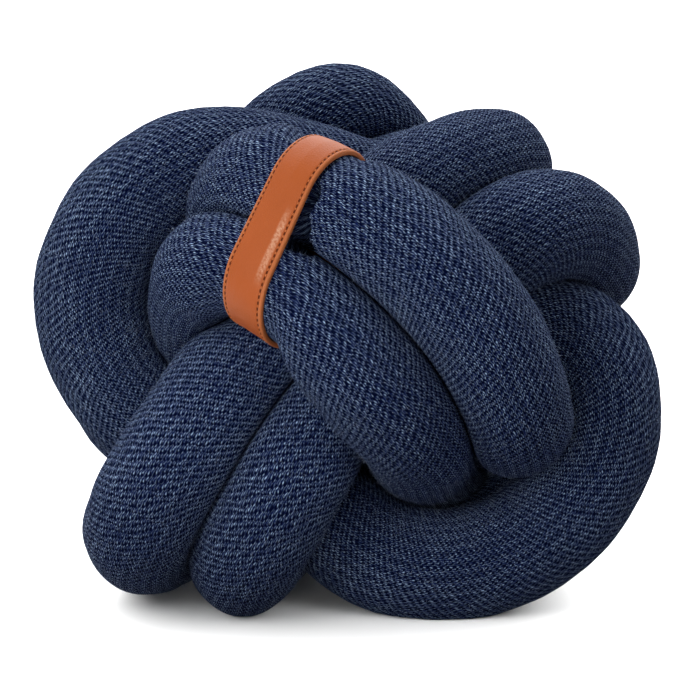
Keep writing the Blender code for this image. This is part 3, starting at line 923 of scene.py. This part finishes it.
class CUSHION_OT_fuzz(bpy.types.Operator):
    """Scatter the yarn's loose fibres over the knit"""
    bl_idname = "cushion.fuzz"
    bl_label = "Yarn fuzz"

    def execute(self, context):
        knit = context.scene.cushion_knit
        points = skin(knit.rings, knit.sides) + to_frame(knit)
        fibre = fibres(points, knit.fuzz_count, knit.fuzz_length / MM)
        start = 5 * np.arange(len(fibre))[:, None]
        blades = (start + np.arange(4)).tolist()
        tips = (start + np.array([3, 2, 4])).tolist()
        mesh = bpy.data.meshes.new("yarn_fuzz")
        mesh.from_pydata((fibre.reshape(-1, 3) * MM).tolist(), [], blades + tips)
        add_piece("yarn_fuzz", mesh, fuzz_material(knit))
        return {"FINISHED"}


def band_profile(look):
    """Closed outline of the band's cross-section as offsets across it and heights above its
    inside: a flat inside, rounded edges, and a crowned face with a groove for the stitches,
    height = thickness + crown * (1 - t^2) - groove * exp(-(distance to the stitch line)^2)."""
    half = BAND_WIDTH / 2.0
    face = np.linspace(BAND_CORNER - half, half - BAND_CORNER, 49)
    line = half - look.inset / MM
    dip = np.exp(-((np.abs(face) - line) / GROOVE_WIDTH) ** 2) * look.groove / MM
    height = BAND_THICKNESS + look.crown / MM * (1.0 - (face / half) ** 2) - dip
    corners = ((BAND_CORNER, BAND_THICKNESS - BAND_CORNER, np.linspace(75.0, 0.0, 5)),
               (BAND_CORNER_UNDER, BAND_CORNER_UNDER, np.linspace(0.0, -90.0, 4)))
    right = np.array([(half - size + size * math.cos(angle), level + size * math.sin(angle))
                      for size, level, angles in corners for angle in np.radians(angles)])
    left = right[::-1] * (-1.0, 1.0)
    under = np.linspace(half - BAND_CORNER_UNDER, BAND_CORNER_UNDER - half, 9)[1:-1]
    under = np.stack([under, np.zeros_like(under)], axis=1)
    return np.vstack([np.stack([face, height], axis=1), right, under, left])


def leather_material(look, stitches):
    """Smooth leather: fine pebbled grain, cloudy colour, lighter rolled rims outside the
    stitch lines, darker grooves with dents where the stitches go in, painted dark as their
    shade, and a glossier wrinkled patch beside the right stitches where the band bends over
    the strands, whose creases are painted lighter as a painted highlight."""
    shader = new_shader("leather")
    place = shader.place()
    share, along = shader.uv("strap")
    side = abs(share - 0.5) * (BAND_WIDTH * 2.0)
    from_edge = (BAND_WIDTH - side) * 0.5
    cloudy = shader.noise(place, scale=60.0, detail=4.0)
    grain = shader.cells(place, scale=1500.0)
    fine = shader.noise(place, scale=3200.0, detail=2.0)
    rim = (look.inset / MM - from_edge).smooth(0.2, 0.8)
    hole = ((along * stitches + 0.5).modulo(1.0) - 0.5) * 3.0
    line = (from_edge - look.inset / MM) / 0.42
    # Dents at the stitch ends: sunk in the bump, rougher, and painted dark as painted shade.
    dent = (hole * hole + line * line).smooth(1.4, 0.2)
    seam = (line * line).smooth(2.2, 0.2)

    # The glossier wrinkled patch: its creases get lower roughness, a bump and a painted highlight
    # in their colour.
    patch = ((abs(along - look.glint_along) / look.glint_length).smooth(1.0, 0.4)
             * (abs(share - look.glint_across) / look.glint_width).smooth(1.0, 0.3))
    folds = shader.noise(shader.point(share * 16.0, along * 190.0), scale=1.0, detail=2.0)
    painted_glint = patch * (folds - 0.25).at_least(0.0).at_most(0.4) * 2.5

    colour = shader.blend((cloudy - 0.35).at_least(0.0) * 0.8, rgba(look.leather),
                          rgba(look.leather, 0.80))
    # Painted highlight on the creases of the glossier patch.
    colour = shader.blend(painted_glint * 0.55, colour, rgba(look.painted_glint))
    colour = shader.blend(rim * 0.6, colour, rgba(look.rim))
    colour = shader.blend(seam * 0.25, colour, rgba(look.seam))
    # Painted shade in the dents where the stitches go in.
    colour = shader.blend(dent * 0.9, colour, rgba(look.dent))
    shader.connect("Base Color", colour)
    shader.connect("Roughness", 0.34 + 0.16 * cloudy + 0.10 * fine + 0.3 * dent - 0.22 * painted_glint)
    height = grain * 0.45 + fine * 0.25 - dent * 1.4 + (folds - 0.5) * patch * 2.4
    shader.connect("Normal", shader.bump(height, 0.00030))
    shader.constants(Specular_IOR_Level=0.15)
    return shader.owner


def stitch_count(look):
    """Stitches along one edge of the band, all round it."""
    upper, lower = loop().middles(0.0)
    length = 2.0 * (math.pi * loop().inner + np.linalg.norm(upper - lower))
    return int(round(length / (look.stitch / MM)))


class CUSHION_OT_band(bpy.types.Operator):
    """Make the leather band"""
    bl_idname = "cushion.band"
    bl_label = "Leather band"

    def execute(self, context):
        look = context.scene.cushion_band
        profile = band_profile(look)
        rows = [loop().outline(offset, height, BAND_STEPS)[0] for offset, height in profile]
        points = np.stack(rows, axis=1) + to_frame(context.scene.cushion_knit)
        across = profile[:, 0] / BAND_WIDTH + 0.5
        mesh = grid_mesh("leather_band", points, "strap", np.append(across, across[0]))
        material = leather_material(look, stitch_count(look))
        add_piece("strap", mesh, material, "leather_band")
        return {"FINISHED"}


def thread_material(look):
    """Waxed thread: fine twisted plies and a soft gloss."""
    shader = new_shader("sewing_thread")
    around, along = shader.uv("thread")
    ply = ((around * 2.0 + along * 3.0) * TURN).sin() * 0.5 + 0.5
    shader.connect("Base Color", shader.blend(ply, rgba(look.thread, 0.75), rgba(look.thread, 1.5)))
    shader.connect("Normal", shader.bump(ply, 0.00008))
    shader.constants(Roughness=0.60, Specular_IOR_Level=0.10)
    return shader.owner


def stitch_tubes(look, side):
    """One short tube for each stitch along an edge of the band (side 1 right, -1 left), as
    (stitch, along, round, 3). Each rises out of the leather and sinks back into it."""
    count = stitch_count(look)
    half = 0.5 * look.thread_width / MM
    offset = side * (BAND_WIDTH / 2.0 - look.inset / MM)
    way, out = loop().outline(offset, BAND_THICKNESS - look.groove / MM, count * STITCH_STEPS)
    share = np.linspace(0.0, 1.0, THREAD_RINGS)
    where = np.linspace(*STITCH_SPAN, THREAD_RINGS)
    at = (np.arange(count)[:, None] + where) * STITCH_STEPS
    low = np.floor(at).astype(int)
    part = (at - low)[:, :, None]
    up = out[low]
    middle = way[low] * (1 - part) + way[(low + 1) % len(way)] * part
    middle = middle + (half * np.sin(math.pi * share) - THREAD_SUNK)[:, None] * up
    ahead = unit(np.gradient(middle, axis=1))
    beside = np.cross(up, ahead)
    swell = np.sqrt(np.maximum(1.0 - (2.0 * share - 1.0) ** 4, 0.0))
    swell[[0, -1]] = THREAD_END
    turn = TURN * np.arange(THREAD_SIDES)[:, None] / THREAD_SIDES
    ring = np.cos(turn) * beside[:, :, None] + np.sin(turn) * up[:, :, None]
    return middle[:, :, None] + half * swell[:, None, None] * ring


class CUSHION_OT_stitches(bpy.types.Operator):
    """Sew the band's two rows of stitches"""
    bl_idname = "cushion.stitches"
    bl_label = "Band stitches"

    def execute(self, context):
        look = context.scene.cushion_band
        shift = to_frame(context.scene.cushion_knit)
        material = thread_material(look)
        for name, side in (("stitches_right", 1.0), ("stitches_left", -1.0)):
            mesh = thread_mesh(name, stitch_tubes(look, side) + shift)
            add_piece(name, mesh, material)
        return {"FINISHED"}


# Lights: directions or places to the right, back and up in metres, and power in watts.
Lobe = namedtuple("Lobe", "name right back up strength sharpness")
SoftBox = namedtuple("SoftBox", "name right back up size power")

LIGHT_LOBES = (
    Lobe("above and behind", 0.10, 0.60, 0.80, 4.4, 4.0),
    Lobe("left and behind", -0.80, 0.40, 0.50, 0.9, 4.0),
    Lobe("front left", -0.50, -0.75, 0.40, 0.3, 3.0),
)

SOFT_BOXES = (
    SoftBox("softbox_left", -0.28, -0.45, 0.28, 0.2, 1.00),
    SoftBox("softbox_right", 0.28, -0.45, 0.28, 0.2, 0.40),
    SoftBox("softbox_low", -0.10, -0.55, 0.08, 0.2, 0.70),
)
FLOOR_WASH = SoftBox("floor_wash", 0.0, 0.0, 5.0, 24.0, 4000.0)

FLOOR_HALF = 20.0  # half of the floor's width in metres
FLOOR_DROP = 0.0002  # how far under the cushion the floor lies, so that their faces stay apart
SENSOR_WIDTH = 36.0
PICTURE_SHIFT = -5.0 / 700.0  # how far the picture is moved, as a share of its width


def turned_to(name, data, place, aim):
    """Puts a light or camera at a place, turned toward a point."""
    made = add_object(name, data)
    made.location = place
    made.rotation_euler = (aim - place).to_track_quat("-Z", "Y").to_euler()
    return made


def soft_box(box, aim):
    """A square studio light turned toward a point, out of the camera's sight."""
    lamp = bpy.data.lights.new(box.name, "AREA")
    lamp.size = box.size
    lamp.energy = box.power
    light = turned_to(box.name, lamp, Vector((box.right, box.back, box.up)), aim)
    light.visible_camera = False
    return light


def studio_light(look):
    """Light from all round: an even part, and broad soft lobes of light, each
    strength * max(cosine of the angle to the lobe's direction, 0) ^ sharpness."""
    sky = Shader(bpy.data.worlds.new("studio"), "Background")
    direction = sky.read("ShaderNodeTexCoord", "Generated", {})
    total = look.sky
    for lobe in LIGHT_LOBES:
        toward = Vector((lobe.right, lobe.back, lobe.up)).normalized()
        facing = sky.read("ShaderNodeVectorMath", "Value", {0: direction, 1: toward},
                          operation="DOT_PRODUCT")
        total = (facing.at_least(0.0) ** lobe.sharpness).times_plus(lobe.strength, total)
    sky.connect("Strength", total)
    sky.constants(Color=(1.0, 1.0, 1.0, 1.0))
    return sky.owner


def make_floor(look):
    """A pale floor with faint specks. No light bounces from it onto the cushion."""
    shader = new_shader("pale_floor")
    speck = shader.noise(shader.place(), scale=400.0, detail=2.0)
    shader.connect("Base Color", shader.blend(speck * 0.04, rgba(look.floor), (1, 1, 1, 1)))
    shader.constants(Roughness=0.9, Specular_IOR_Level=0.1)
    edge = np.linspace(-FLOOR_HALF, FLOOR_HALF, 9)
    x, y = np.meshgrid(edge, edge)
    mesh = grid_mesh("floor", np.stack([x, y, 0.0 * x], axis=-1) / MM, "floor", closed=False)
    mesh.materials.append(shader.owner)
    floor = add_object("floor", mesh)
    floor.location.z = -FLOOR_DROP
    floor.visible_diffuse = False
    return floor


class CUSHION_OT_stage(bpy.types.Operator):
    """Make the floor, the lights and the camera"""
    bl_idname = "cushion.stage"
    bl_label = "Stage"

    def execute(self, context):
        scene = context.scene
        look = scene.cushion_stage
        shift = to_frame(scene.cushion_knit) * MM
        aim = Vector((shift[0], shift[1], BALL_HEIGHT * MM))
        floor = make_floor(look)
        scene.world = studio_light(look)
        for box in SOFT_BOXES:
            soft_box(box, aim)
        wash = soft_box(FLOOR_WASH, aim)
        only = bpy.data.collections.new("floor_only")
        only.objects.link(floor)
        wash.light_linking.receiver_collection = only

        lens = bpy.data.cameras.new("camera")
        lens.lens = look.lens
        lens.sensor_width = SENSOR_WIDTH
        lens.shift_y = PICTURE_SHIFT
        back = Vector((0.0, -math.cos(look.elevation), math.sin(look.elevation)))
        scene.camera = turned_to("camera", lens, aim + back * look.distance, aim)
        scene.view_settings.view_transform = "Standard"
        return {"FINISHED"}


GROUPS = {"cushion_knit": KnitLook, "cushion_band": BandLook, "cushion_stage": StageLook}
OPERATORS = (CUSHION_OT_tube, CUSHION_OT_fuzz, CUSHION_OT_band, CUSHION_OT_stitches,
             CUSHION_OT_stage)


class CUSHION_PT_panel(bpy.types.Panel):
    """Lists the sizes, the colours and the pieces of the cushion"""
    bl_label = "Knot cushion"
    bl_idname = "CUSHION_PT_panel"
    bl_space_type = "VIEW_3D"
    bl_region_type = "UI"
    bl_category = "Knot cushion"

    def draw(self, context):
        for group in GROUPS:
            look = getattr(context.scene, group)
            box = self.layout.box()
            for name in look.bl_rna.properties.keys():
                if name not in ("rna_type", "name"):
                    box.prop(look, name)
        for operator in OPERATORS:
            self.layout.operator(operator.bl_idname)


CLASSES = (*GROUPS.values(), *OPERATORS, CUSHION_PT_panel)


def register():
    for cls in CLASSES:
        bpy.utils.register_class(cls)
    for name, group in GROUPS.items():
        setattr(bpy.types.Scene, name, PointerProperty(type=group))


def unregister():
    for name in GROUPS:
        delattr(bpy.types.Scene, name)
    for cls in reversed(CLASSES):
        bpy.utils.unregister_class(cls)


def main():
    register()
    bpy.ops.cushion.tube()
    bpy.ops.cushion.fuzz()
    bpy.ops.cushion.band()
    bpy.ops.cushion.stitches()
    bpy.ops.cushion.stage()


if __name__ == "__main__":
    main()
